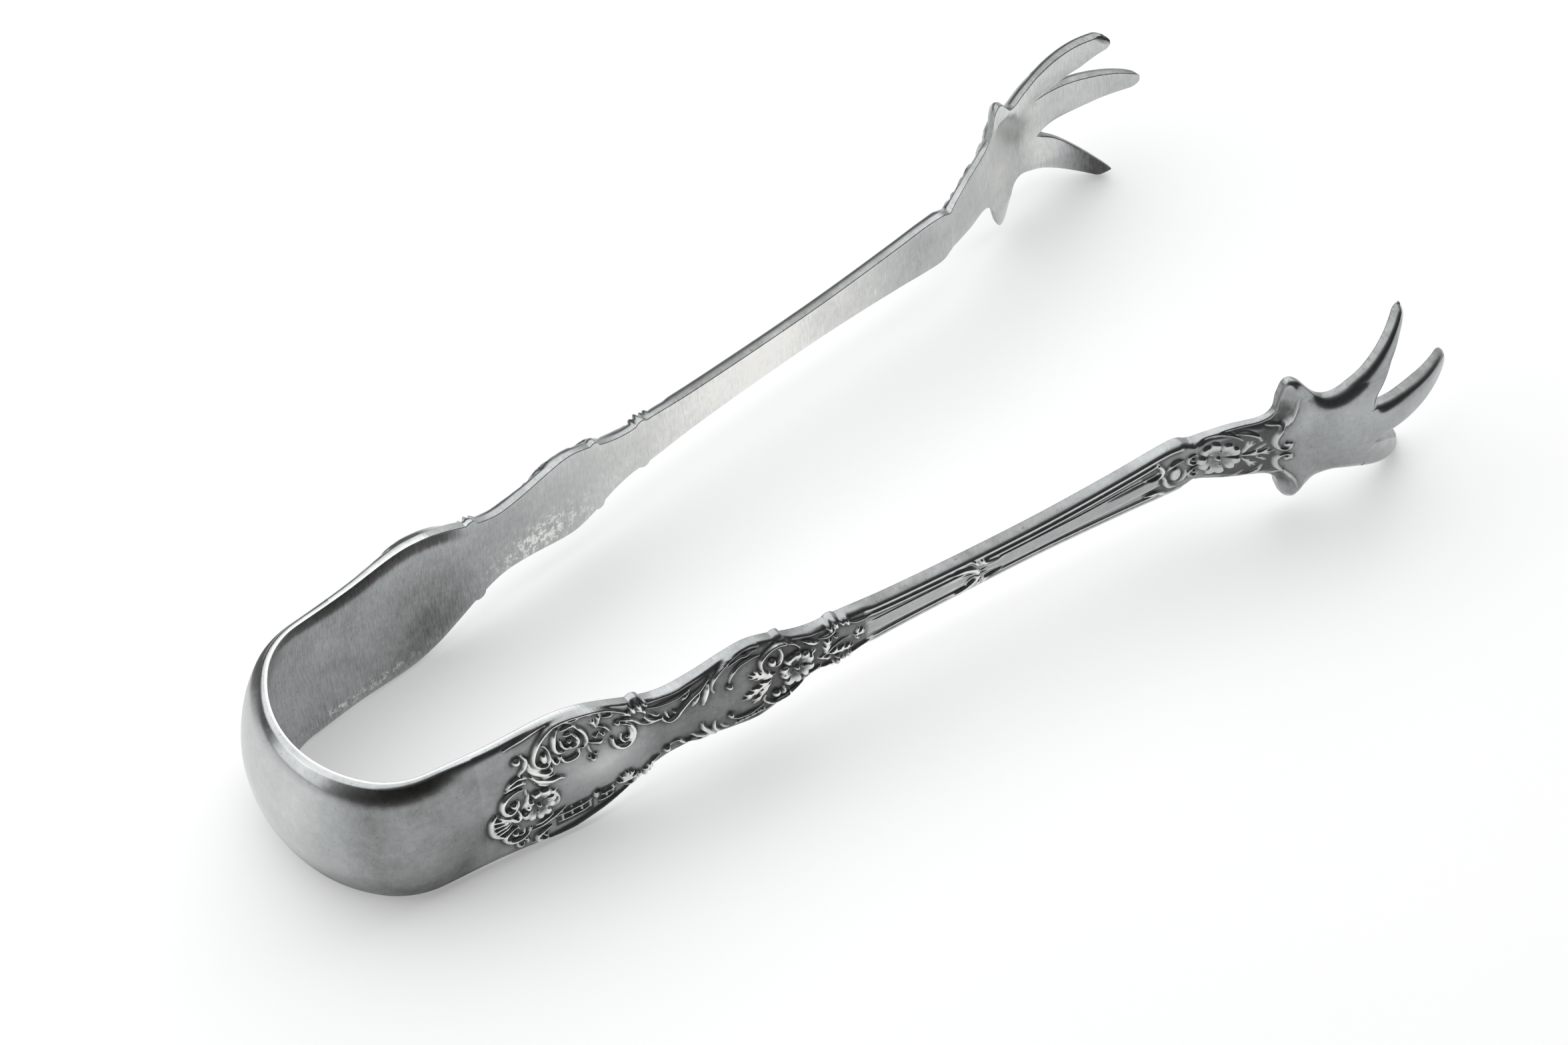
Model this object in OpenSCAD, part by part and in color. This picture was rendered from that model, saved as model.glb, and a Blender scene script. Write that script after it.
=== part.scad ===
// Ice tongs: one sprung strip of silver-plated metal, bent into a U, with two
// shaped arms that end in three-taloned claws.
//
// The tongs are drawn upright, with the middle plane of the strip at z = 0, the
// crown of the bow at x = 0 and the claws towards +X, and are then laid on edge on
// the table by lie(). The far arm is on +Y and the near arm is its mirror image.
// Widths of the strip are half-widths above and below the middle plane.

/* [Strip] */
// Thickness of the strip in the bow and the arms
strip_t = 2.2; // [1.8:0.1:2.6]
// Thickness of the strip in the claws
claw_t = 2.0; // [1.6:0.1:2.4]

/* [Bow] */
// Half-width of the strip round the bow
bow_half = 12.4; // [11:0.1:14]
// Radius of the flat front of the bow, at the middle of the strip
crown_r = 20; // [18:0.5:22]
// Radius of the two corners of the bow, at the middle of the strip
corner_r = 11.5; // [10:0.5:13]
// Angle each side over which the flat front runs
crown_a = 40; // [36:1:44]
// Radius of the domed outer face, which is hollow behind
dome_r = 20.6; // [19:0.1:23]
// How far the dome stands out in front of the strip's edges
dome_rise = 3.5; // [2:0.1:4.5]
// Gap through the dome at each flexing point
dome_gap = 0.5; // [0.4:0.1:1]
// Angle each side at which the bow flexes
flex_a = 31; // [26:1:34]
// Running gap between the two halves of a flexing point
flex_gap = 0.05; // [0.02:0.01:0.1]

/* [Arms] */
// Distance from the crown to the bend at the claw
bend_x = 136.4; // [130:0.2:142]
// Distance of the bend from the middle of the tongs
bend_y = 28.5; // [26:0.1:31]
// Splay of each arm where it leaves the bow
arm_splay = 6.4; // [5.8:0.1:7.2]
// Distance from the crown to the bead at the waist
bead_x = 44.6; // [42:0.1:47]
// Distance from the crown to the middle of the double bead
double_bead_x = 77.6; // [75:0.1:80]
// Radius of the beads
bead_r = 1.15; // [0.9:0.05:1.4]

/* [Claws] */
// Outward angle of the palm
palm_a = 24.4; // [20:0.2:28]
// Length of the straight part of the palm
palm_l = 21.5; // [20:0.1:23]
// Radius of the inward curve of the middle talon
middle_curl_r = 22; // [20:0.5:26]
// Radius of the inward curve of the two side talons
side_curl_r = 13; // [12:0.5:15]
// Distance from the crown to the tips of the side talons
side_tip_x = 170.7; // [168:0.1:173]
// Half of the distance between the tips of the side talons
side_tip_half = 15.4; // [14:0.1:17]
// Length from the edge of the crown to the middle talon's tip
length = 178; // [175:0.5:181]
// Half of the distance between the tips of the side spurs
spur_half = 13.2; // [12.4:0.1:14]

/* [Hidden] */
$fn = 96;

SILVER = [0.62, 0.64, 0.66];
SILVER_WORN = [0.72, 0.73, 0.74];
SILVER_DARK = [0.50, 0.52, 0.54];

// Steps between two points of a curve, and how far a cutting shape runs past
STEPS = 4;
PAST = 1;

// Corner taken off each side talon's tip
TIP_ROUND = 0.7;

// Bow: centres of the front and corner curves, and the flexing point
front_c = [crown_r + strip_t / 2, 0];
corner_c = round_point(front_c, crown_r - corner_r, crown_a);
flex_p = round_point(front_c, crown_r, flex_a);

// Bow: centre of the dome, how far out its bands reach, and half its gap's angle
dome_c = [dome_r - dome_rise, 0];
DOME_REACH = dome_rise + strip_t;
gap_a = atan(dome_gap / 2 / crown_r);

// Arm: it leaves the corner at arm_splay and eases inward up to the bend
arm_x = corner_c.x - corner_r * sin(arm_splay);
arm_y = corner_c.y + corner_r * cos(arm_splay);
arm_l = bend_x - arm_x;
arm_ease = (arm_y + tan(arm_splay) * arm_l - bend_y) / pow(arm_l, 2);

// Claw: end of the palm's straight part
palm_end = [bend_x, bend_y] + palm_l * [cos(palm_a), sin(palm_a)];

// Lying on edge: the tongs rest on the crown's edge and the two lower side tips
rest_a = atan((side_tip_half - bow_half) / (side_tip_x - TIP_ROUND));
rest_z = bow_half * cos(rest_a);
front_x = dome_c.x * cos(rest_a) - dome_r;
mid_x = (length * cos(rest_a) + front_x) / 2;

// Point at angle a of a circle, counted from -X towards +Y
function round_point(centre, r, a) = centre + r * [-cos(a), sin(a)];

// Point at t between p1 and p2 on a smooth curve through p0, p1, p2 and p3
function between(p0, p1, p2, p3, t) =
    0.5 * (2 * p1 + (p2 - p0) * t
        + (2 * p0 - 5 * p1 + 4 * p2 - p3) * pow(t, 2)
        + (3 * p1 - p0 - 3 * p2 + p3) * pow(t, 3));

// Smooth open curve through the points of p
function curve(p) = [
    for (i = [0:len(p) - 2], j = [0:STEPS - 1])
        between(p[max(i - 1, 0)], p[i], p[i + 1], p[min(i + 2, len(p) - 1)], j / STEPS),
    p[len(p) - 1]
];

// The same outline below the middle plane, in reverse order
function flip(p) = [for (i = [len(p) - 1:-1:0]) if (p[i].y > 0) [p[i].x, -p[i].y]];

// Middle line of the arm in plan at distance u along it, moved off sideways
function arm_slope(u) = atan(tan(arm_splay) - 2 * arm_ease * u);
function arm_point(u, off) =
    [arm_x + u, arm_y + tan(arm_splay) * u - arm_ease * pow(u, 2)]
    + off * [-sin(arm_slope(u)), cos(arm_slope(u))];

// Half outlines of the strip seen from the side, as [x, half-width]
HANDLE_SIDE = curve([
    [0, bow_half], [12, bow_half], [22, bow_half - 0.2], [31, bow_half + 0.3],
    [36, bow_half - 0.5], [40, bow_half - 2.1], [bead_x, bow_half - 4.4],
    [bead_x + 4.6, 6.5], [54, 6.8], [58.5, 7.7], [62.5, 8.2], [66, 7.3],
    [70, 5.5], [73.5, 4.6], [double_bead_x, 4.5]
]);
SHANK_SIDE = curve([
    [double_bead_x, 4.5], [84.4, 3.9], [92, 3.6], [101, 3.45], [110, 3.5],
    [118, 3.85], [126, 4.4], [131.5, 4.9], [134.6, 4.8], [bend_x, 4.0]
]);
ROOT_SIDE = curve([
    [bend_x, 4.0], [bend_x + 1.8, 4.5], [142, 5.4], [146, 5.9],
    [148.2, 7.6], [149.1, 10.4], [149.8, spur_half - 0.6]
]);
SPUR_SIDE = curve([
    [150.7, spur_half], [151.8, spur_half - 0.9], [153.1, 10.4], [154, 8.1]
]);
TALON_OUTER = curve([
    [154, 8.1], [156.4, 8.3], [159.4, 9.6], [163, 11.6], [166.4, 13.5],
    [side_tip_x - TIP_ROUND, side_tip_half]
]);
TALON_INNER = curve([
    [side_tip_x, side_tip_half - TIP_ROUND], [169, 12.4], [166.6, 8.9],
    [163.4, 5.7], [160.3, 3.9]
]);
MIDDLE_TALON = curve([
    [160.3, 3.9], [163.6, 3.4], [168, 3.1], [172.7, 2.4], [176.2, 1.6],
    [length - 0.4, 0.8], [length, 0]
]);

// Ring as thick as the strip, between two angles counted from -X towards +Y
module arc_band(centre, r, t, from, to) {
    reach = 2 * (r + t);
    intersection() {
        translate(centre) difference() {
            circle(r + t / 2);
            circle(r - t / 2);
        }
        translate(centre) polygon([
            [0, 0],
            reach * [-cos(from), sin(from)],
            reach * [-cos((from + to) / 2), sin((from + to) / 2)],
            reach * [-cos(to), sin(to)]
        ]);
    }
}

// Plan of the far arm, from the flexing point to the bend
module arm_plan() {
    stations = [for (i = [0:12]) arm_l * i / 12];
    difference() {
        union() {
            arc_band(front_c, crown_r, strip_t, flex_a, crown_a);
            arc_band(corner_c, corner_r, strip_t, crown_a, 90 - arm_splay);
            polygon(concat(
                [for (u = stations) arm_point(u, strip_t / 2)],
                [for (i = [12:-1:0]) arm_point(stations[i], -strip_t / 2)]
            ));
        }
        translate(flex_p) circle(strip_t / 2 + flex_gap);
    }
}

// Plan of the space outside the middle of the far arm in which the dome lies
module arm_dome_plan() {
    start_a = flex_a + gap_a;
    difference() {
        polygon([
            round_point(front_c, crown_r, start_a),
            round_point(front_c, crown_r + DOME_REACH, start_a),
            [-2 * dome_rise, 2 * dome_r],
            [2 * dome_r, 2 * dome_r],
            arm_point(dome_r, 0),
            arm_point(dome_r / 2, 0),
            for (i = [4:-1:0])
                round_point(corner_c, corner_r,
                    crown_a + (90 - arm_splay - crown_a) * i / 4)
        ]);
        translate(flex_p) circle(strip_t / 2 + flex_gap);
    }
}

// Part of the domed outer face over a plan shape
module dome() {
    intersection() {
        translate(dome_c) sphere(dome_r);
        translate([0, 0, -bow_half]) linear_extrude(2 * bow_half) children();
    }
}

// Hollow behind the dome
module dome_hollow() {
    translate(dome_c) sphere(dome_r - strip_t);
}

// Plan of the far claw with its talons curled inward at radius r
module claw_plan(r) {
    start = [bend_x, bend_y] + claw_t / 2 * [sin(palm_a), -cos(palm_a)];
    along = palm_l * [cos(palm_a), sin(palm_a)];
    across = claw_t * [-sin(palm_a), cos(palm_a)];
    heel = [bend_x, arm_point(arm_l, -strip_t / 2).y];
    toe = [bend_x, arm_point(arm_l, strip_t / 2).y];
    polygon([heel, start + along, start + along + across, start + across, toe]);
    arc_band(palm_end + r * [sin(palm_a), -cos(palm_a)], r, claw_t,
        90 - palm_a, 150);
}

// Solid over a plan shape, cut to a side outline of [x, half-width] points
module cut_to_side(outline) {
    tall = 2 * (side_tip_half + PAST);
    intersection() {
        translate([0, 0, -tall / 2]) linear_extrude(tall) children();
        translate([0, length, 0]) rotate([90, 0, 0])
            linear_extrude(2 * length) polygon(concat(outline, flip(outline)));
    }
}

// Beads on both edges of the far arm at x, at the given half-width
module beads(x, half) {
    for (side = [-1, 1])
        translate([x, arm_point(x - arm_x, 0).y, side * half])
            rotate([90, 0, 0])
                cylinder(h = strip_t, r = bead_r, center = true);
}

module handle() {
    difference() {
        union() {
            cut_to_side(HANDLE_SIDE) arm_plan();
            dome() arm_dome_plan();
        }
        dome_hollow();
    }
    beads(bead_x, bow_half - 4.9);
    beads(double_bead_x - 1.4, 3.9);
}

module shank() {
    cut_to_side(SHANK_SIDE) arm_plan();
}

module claw() {
    cut_to_side(concat(ROOT_SIDE, SPUR_SIDE, TALON_OUTER, TALON_INNER))
        claw_plan(side_curl_r);
    cut_to_side(concat([[154, 8.1]], MIDDLE_TALON)) claw_plan(middle_curl_r);
}

// Lays the upright tongs on edge, over the middle of their own footprint
module lie() {
    translate([-mid_x, 0, rest_z]) rotate([0, -rest_a, 0]) children();
}

module near_side() {
    mirror([0, 1, 0]) children();
}

// Front of the bow, with a rounded end at each flexing point
module bow_crown() {
    color(SILVER_DARK) lie() difference() {
        union() {
            translate([0, 0, -bow_half]) linear_extrude(2 * bow_half) {
                arc_band(front_c, crown_r, strip_t, -flex_a, flex_a);
                for (side = [-1, 1])
                    translate([flex_p.x, side * flex_p.y]) circle(strip_t / 2);
            }
            dome() arc_band(front_c, crown_r + DOME_REACH / 2, DOME_REACH,
                gap_a - flex_a, flex_a - gap_a);
        }
        dome_hollow();
    }
}

module near_handle() {
    color(SILVER) lie() near_side() handle();
}

module near_shank() {
    color(SILVER) lie() near_side() shank();
}

module near_claw() {
    color(SILVER_WORN) lie() near_side() claw();
}

module far_handle() {
    color(SILVER) lie() handle();
}

module far_shank() {
    color(SILVER) lie() shank();
}

module far_claw() {
    color(SILVER_WORN) lie() claw();
}

bow_crown();
near_handle();
near_shank();
near_claw();
far_handle();
far_shank();
far_claw();
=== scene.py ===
import math
from functools import partial
import bmesh
import bpy
import numpy as np
from mathutils import Matrix, Vector


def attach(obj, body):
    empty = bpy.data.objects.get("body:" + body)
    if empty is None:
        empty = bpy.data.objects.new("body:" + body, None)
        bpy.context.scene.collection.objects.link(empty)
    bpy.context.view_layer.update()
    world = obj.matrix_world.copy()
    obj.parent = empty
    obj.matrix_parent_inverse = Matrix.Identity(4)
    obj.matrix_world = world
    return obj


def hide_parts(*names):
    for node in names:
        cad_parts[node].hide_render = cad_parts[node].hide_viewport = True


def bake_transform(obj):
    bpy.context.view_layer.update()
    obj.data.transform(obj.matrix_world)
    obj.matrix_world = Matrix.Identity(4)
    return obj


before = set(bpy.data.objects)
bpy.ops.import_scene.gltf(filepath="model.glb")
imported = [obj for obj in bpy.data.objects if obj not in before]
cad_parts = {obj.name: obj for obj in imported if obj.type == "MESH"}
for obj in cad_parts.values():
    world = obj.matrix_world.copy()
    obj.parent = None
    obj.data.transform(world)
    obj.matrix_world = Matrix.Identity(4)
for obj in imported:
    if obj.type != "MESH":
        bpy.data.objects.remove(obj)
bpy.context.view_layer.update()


# ---- sizes, in mm
def front(a):
    """Outward direction at angle a from the front of the bow."""
    return np.array([-math.cos(a), math.sin(a)])


LENGTH = 178.0  # edge of the crown to the middle talon's tip
BOW_HALF = 12.4  # half of the strip's width at the bow
DOME_X, DOME_R = 17.1, 20.6  # centre and radius of the dome at mid-height
CROWN_R, CORNER_R, CROWN_A = 20.0, 11.5, math.radians(40)
SPLAY = math.radians(6.4)  # of each arm where it leaves the bow
BEND_X, BEND_Y = 136.4, 28.5  # bend between the shank and the palm
PALM_A, PALM_L = math.radians(24.4), 21.5
MIDDLE_R, SIDE_R = 22.0, 13.0  # curl of the middle and the side talons
SIDE_TIP_X, SIDE_TIP_HALF, TIP_ROUND = 170.7, 15.4, 0.7
VALLEY_X, VALLEY_Z = 160.3, 3.9  # forks between the talons
CARTOUCHE_X, PANEL_X, SHANK_X = 19.5, 46, 80  # where the visual pieces of an arm begin

FRONT_C = np.array([21.1, 0.0])
CORNER_C = FRONT_C + (CROWN_R - CORNER_R) * front(CROWN_A)
ARM_X = CORNER_C[0] - CORNER_R * math.sin(SPLAY)
ARM_Y = CORNER_C[1] + CORNER_R * math.cos(SPLAY)
ARM_L = BEND_X - ARM_X
ARM_EASE = (ARM_Y + math.tan(SPLAY) * ARM_L - BEND_Y) / ARM_L ** 2
PALM_END = np.array([BEND_X, BEND_Y]) + PALM_L * np.array([math.cos(PALM_A), math.sin(PALM_A)])

# Lying on edge: turned a little so that the crown's edge and two side tips touch z = 0
REST_A = math.atan((SIDE_TIP_HALF - BOW_HALF) / (SIDE_TIP_X - TIP_ROUND))
REST_S, REST_C = math.sin(REST_A), math.cos(REST_A)
REST_Z = BOW_HALF * REST_C
MID_X = (LENGTH * REST_C + DOME_X * REST_C - DOME_R) / 2


def to_row(p):
    """Upright millimetres to metres in the row frame."""
    p = np.asarray(p, float)
    x = p[..., 0] * REST_C - p[..., 2] * REST_S - MID_X
    z = p[..., 0] * REST_S + p[..., 2] * REST_C + REST_Z
    return np.stack([x, p[..., 1], z], -1) / 1000


def turn_to_row(v):
    """A direction of the upright frame in the row frame."""
    x, y, z = v
    return Vector((x * REST_C - z * REST_S, y, x * REST_S + z * REST_C))


# ---- small helpers
def path(points):
    """Points as they are, or read from "x,z x,z"."""
    if isinstance(points, str):
        points = [[float(v) for v in pair.split(",")] for pair in points.split()]
    return points


def smooth(points, steps=6):
    """Catmull-Rom curve through the points of a path."""
    p = np.asarray(path(points), float)
    if len(p) < 3:
        return p
    q = np.vstack([p[0], p, p[-1]])
    t = (np.arange(steps) / steps)[:, None]
    rows = [0.5 * (2 * b + (c - a) * t + (2 * a - 5 * b + 4 * c - d) * t ** 2
                   + (3 * b - a - 3 * c + d) * t ** 3)
            for a, b, c, d in zip(q, q[1:], q[2:], q[3:])]
    return np.vstack(rows + [p[-1:]])


def unit(a):
    return np.clip(a, 0, 1)


def ease(x, lo, hi):
    """Smooth step from 0 at lo to 1 at hi."""
    t = unit((np.asarray(x, float) - lo) / (hi - lo))
    return t * t * (3 - 2 * t)


def fall(x, lo, hi):
    return 1 - ease(x, lo, hi)


def spot(x, z, cx, cz, rx, rz):
    """Soft spot round a place, 1 at its middle."""
    return np.exp(-((x - cx) / rx) ** 2 - ((z - cz) / rz) ** 2)


def blur(a, radius, step):
    """Box blur run twice, radius in mm."""
    n = max(1, int(round(radius / step)))
    for axis in (0, 1, 0, 1):
        pad = [(0, 0), (0, 0)]
        pad[axis] = (n + 1, n)
        c = np.cumsum(np.pad(a, pad, mode="edge"), axis=axis)
        k, size = 2 * n + 1, c.shape[axis]
        a = (np.take(c, range(k, size), axis) - np.take(c, range(size - k), axis)) / k
    return a


# ---- outline of the strip
SIDE = smooth(
    "0,12.4 12,12.4 22,12.2 31,12.7 36,11.9 40,10.3 44.6,8.0 49.2,6.5 54,6.8 58.5,7.7 62.5,8.2 66,7.3 "
    "70,5.5 73.5,4.6 77.6,4.5 84.4,3.9 92,3.6 101,3.45 110,3.5 118,3.85 126,4.4 131.5,4.9 134.6,4.8 "
    "136.4,4.0 138.2,4.5 142,5.4 146,5.9 147.8,7.4 148.6,10.2 149.2,12.1 150.1,12.8 151.2,12.1 "
    "152.3,10.4 153.4,8.8 154.7,8.1 156.4,8.3 159.4,9.7 163,11.6")
BEADS = ((44.6, 7.5, 1.15), (76.2, 3.9, 1.15), (67.4, 6.35, 0.9))  # X, Z, radius
NUDGE = 0.05  # for the outline's slope


def half_width(x):
    h = np.interp(x, SIDE[:, 0], SIDE[:, 1])
    for bx, bz, r in BEADS:
        bump = bz + np.sqrt(np.clip(r * r - (x - bx) ** 2, 0, None))
        h = np.where(abs(x - bx) < r, np.maximum(h, bump), h)
    return h


def edge_gap(x, z):
    """Distance to the nearer edge of the outline, allowing for its slope."""
    slope = (half_width(x + NUDGE) - half_width(x - NUDGE)) / (2 * NUDGE)
    return np.clip(half_width(x) - abs(z), 0, None) / np.sqrt(1 + slope ** 2)


# ---- middle surface and faces
# Tables are X and the value there
BULGE = ([0, 3, 6, 9, 12, 16, 20, 25, 60, 80, 130],
         [3.6, 3.5, 3.2, 2.7, 2.0, 1.25, 0.85, 0.6, 0.6, 0.36, 0.36])
PALM_OUTER = ([130, 137, 142, 148, 154, 160, 168, 178], [1.5, 1.85, 2.2, 2.6, 2.55, 2.3, 1.8, 1.4])
PALM_THICK = ([130, 138, 150, 160, 170, 178], [2.2, 2.3, 2.5, 2.5, 2.6, 2.1])
ROLL_DEEP = ([0, 5, 13, 19, 24, 33, 42, 46, 80, 131, 138, 148, 160, 168, 178],
             [0.8, 0.75, 0.75, 0.65, 0.6, 0.2, 0.12, 0.4, 0.4, 0.45, 0.6, 1.1, 1.1, 0.8, 0.5])
ROLL_WIDE = ([0, 5, 13, 19, 24, 50, 80, 131, 138, 148, 160, 168, 178],
             [1.7, 2.2, 2.5, 1.8, 1.3, 1.2, 1.0, 1.1, 1.2, 2.3, 2.1, 1.6, 1.1])
INNER_DEEP, INNER_WIDE = ([0, 40, 50, 178], [0.42, 0.35, 0.12, 0.2]), 1.9
OUTER_Y, INNER_Y, HOLLOW = 1.0, -1.0, 0.2  # arm's faces off its middle; hollow kept by the inner
PALM_FROM, PALM_TO = 131, 138  # X over which an arm's section becomes the palm's


def arc_y(x, r):
    """Middle line of the palm and of a talon that curls inward at radius r."""
    cx = PALM_END[0] + r * math.sin(PALM_A)
    cy = PALM_END[1] - r * math.cos(PALM_A)
    curled = cy + np.sqrt(np.clip(r * r - (x - cx) ** 2, 0.01, None))
    flat = BEND_Y + math.tan(PALM_A) * (x - BEND_X)
    return np.where(x < PALM_END[0], flat, curled)


def arm_y(x):
    u = x - ARM_X
    return ARM_Y + math.tan(SPLAY) * u - ARM_EASE * u * u


def middle_y(x, side):
    """Middle of the strip at x. side is 0 in the middle talon's part and 1 in the side talons'."""
    palm = arc_y(x, MIDDLE_R) * (1 - side) + arc_y(x, SIDE_R) * side
    return np.where(x < BEND_X, arm_y(x), palm)


def side_share(z):
    """side, for middle_y, where the palm is one sheet."""
    return ease(abs(z), 2.2, 6)


def bulge(x):
    """Doming of the strip across its width: deep round the bow, slight along the arms."""
    return np.interp(x, *BULGE)


def outer_depth(x, z, h):
    """How far the outer face stands off the middle line, before the relief."""
    arm = OUTER_Y + bulge(x) * (1 - (z / h) ** 2)
    palm = np.interp(x, *PALM_OUTER) - np.minimum(abs(z), 9) ** 2 / 70
    return arm + (palm - arm) * ease(x, PALM_FROM, PALM_TO)


def edge_roll(d, x):
    """Rounding of the outer face towards the edge, d mm away."""
    return np.interp(x, *ROLL_DEEP) * unit(1 - d / np.interp(x, *ROLL_WIDE)) ** 2


def inner_depth(x, z, h, outer):
    """How far the inner face stands off the middle line, outwards."""
    arm = INNER_Y + (bulge(x) - HOLLOW) * (1 - (z / h) ** 2)
    palm = outer - np.interp(x, *PALM_THICK)
    return arm + (palm - arm) * ease(x, PALM_FROM, PALM_TO)


def inner_roll(d, x):
    return np.interp(x, *INNER_DEEP) * unit(1 - d / INNER_WIDE) ** 2


# ---- the die: relief in X and Z
STEP = 0.08
DIE_X = 14.2  # the bow takes the die from here on
TAPER = 0.35  # share of a stroke over which each end grows to its full width


class Die:
    """Raster of the relief: height, how bright its top is worn, and darkened grooves."""

    def __init__(self):
        self.x = np.arange(14, 156, STEP)
        self.z = np.arange(-14, 14.001, STEP)
        self.X, self.Z = np.meshgrid(self.x, self.z, indexing="ij")
        self.high = np.zeros(self.X.shape)
        self.top = np.zeros(self.X.shape)
        self.dark = np.zeros(self.X.shape)

    def window(self, lo, hi):
        i = np.searchsorted(self.x, [lo[0], hi[0]])
        j = np.searchsorted(self.z, [lo[1], hi[1]])
        return slice(*i), slice(*j)

    def lay(self, w, high, top):
        more = high > self.high[w]
        self.high[w] = np.where(more, high, self.high[w])
        self.top[w] = np.where(more, top, self.top[w])

    def stroke(self, points, half=0.3, high=0.4, tips=(0.4, 0.4), side=1):
        """Rounded ridge along a curve, drawn out thinner at its ends. side -1 mirrors it in Z."""
        p = smooth(points) * (1, side)
        w = self.window(p.min(0) - half, p.max(0) + half)
        x, z = self.X[w], self.Z[w]
        d = np.diff(p, axis=0)
        size = np.hypot(d[:, 0], d[:, 1])
        at = np.concatenate([[0], np.cumsum(size)])
        best = np.full(x.shape, 1e9)
        along = np.zeros(x.shape)
        for i in range(len(d)):
            u = unit(((x - p[i, 0]) * d[i, 0] + (z - p[i, 1]) * d[i, 1]) / max(size[i] ** 2, 1e-9))
            r = (x - p[i, 0] - u * d[i, 0]) ** 2 + (z - p[i, 1] - u * d[i, 1]) ** 2
            near = r < best
            best = np.where(near, r, best)
            along = np.where(near, (at[i] + u * size[i]) / at[-1], along)
        grow = tips[0] + (1 - tips[0]) * ease(along, 0, TAPER)
        grow = grow * (tips[1] + (1 - tips[1]) * ease(1 - along, 0, TAPER))
        q = unit(1 - best / (half * grow) ** 2)
        self.lay(w, high * (0.55 + 0.45 * grow) * np.sqrt(q), q)

    def ball(self, c, r, high=None, rz=None):
        rz = rz or r
        w = self.window((c[0] - r, c[1] - rz), (c[0] + r, c[1] + rz))
        q = unit(1 - ((self.X[w] - c[0]) / r) ** 2 - ((self.Z[w] - c[1]) / rz) ** 2)
        self.lay(w, (high or 0.45 + 0.3 * r) * np.sqrt(q), q)

    def frame(self, base, tip, half):
        """Window of a leaflet, the share of its length at each point, and mm across from its middle."""
        base, tip = np.array(base, float), np.array(tip, float)
        size = np.hypot(*(tip - base))
        t = (tip - base) / size
        w = self.window(np.minimum(base, tip) - half - 0.3, np.maximum(base, tip) + half + 0.3)
        x, z = self.X[w] - base[0], self.Z[w] - base[1]
        return w, (x * t[0] + z * t[1]) / size, z * t[0] - x * t[1]

    def blade(self, base, tip, half, high):
        """Pointed leaflet with a midrib."""
        w, u, v = self.frame(base, tip, half)
        wide = half * np.sin(np.pi * unit(u) ** 0.75) ** 0.75
        q = unit(1 - (v / np.maximum(wide, 0.02)) ** 2) * ((u > 0) & (u < 1))
        rib = 1 - 0.45 * np.exp(-(v / 0.07) ** 2)
        self.lay(w, high * np.sqrt(q) * rib, unit(2.2 * q) * rib)

    def leaf(self, base, tip, half, high=0.45, lobes=3):
        """Leaf of a long middle blade and pairs of side blades that point forward."""
        base, tip = np.array(base, float), np.array(tip, float)
        along = tip - base
        across = np.array([-along[1], along[0]]) / np.hypot(*along)
        self.blade(base, tip, half * 0.55, high)
        for k in range(1, lobes):
            root = base + along * (k / lobes - 0.12)
            reach = 1 - 0.16 * abs(k - 0.5 * lobes)
            for side in (1, -1):
                end = root + (along * 1.05 / lobes + across * side * half * 1.1) * reach
                self.blade(root, end, half * 0.36, high * 0.92)

    def rose(self, c, petals, eye, stamens):
        """Five-petalled wild rose with cupped, notched petals. petals are their tips."""
        tips = np.array(path(petals)) - c
        size = np.hypot(tips[:, 0], tips[:, 1])
        order = np.argsort(np.arctan2(tips[:, 1], tips[:, 0]))
        angles, size = np.arctan2(tips[:, 1], tips[:, 0])[order], size[order]
        big = size.max() + 0.3
        w = self.window((c[0] - big, c[1] - big), (c[0] + big, c[1] + big))
        x, z = self.X[w] - c[0], self.Z[w] - c[1]
        rho, theta = np.hypot(x, z), np.arctan2(z, x)
        high, top = np.zeros(x.shape), np.zeros(x.shape)
        for k, a in enumerate(angles):
            gap = [(angles[(k + s) % len(angles)] - a) * s % (2 * math.pi) / 2 for s in (1, -1)]
            turn = (theta - a + math.pi) % (2 * math.pi) - math.pi
            v = np.where(turn > 0, turn / gap[0], -turn / gap[1])
            edge = size[k] * (1 - 0.1 * np.exp(-(v / 0.2) ** 2) - 0.26 * v ** 4)
            e = rho / edge
            parted = fall(v, 0.78, 0.98)
            inside = (e < 1) & (v < 1)
            lip = np.sqrt(unit(1 - e ** 8)) * parted
            vein = 0.3 * np.exp(-(v / 0.16) ** 2) * ease(e, 0.25, 0.45)
            high = np.where(inside, 0.65 * (0.3 + 0.7 * ease(e, 0.3, 0.86)) * lip * (1 - vein), high)
            top = np.where(inside, (0.2 + 0.55 * ease(e, 0.45, 0.8)) * lip * (1 - vein), top)
        self.lay(w, high, np.where(rho < eye * 1.7, 0, top))
        for s in path(stamens):
            self.ball(s, 0.2, 0.55)
        self.ball(c, eye, 0.7)


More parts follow.
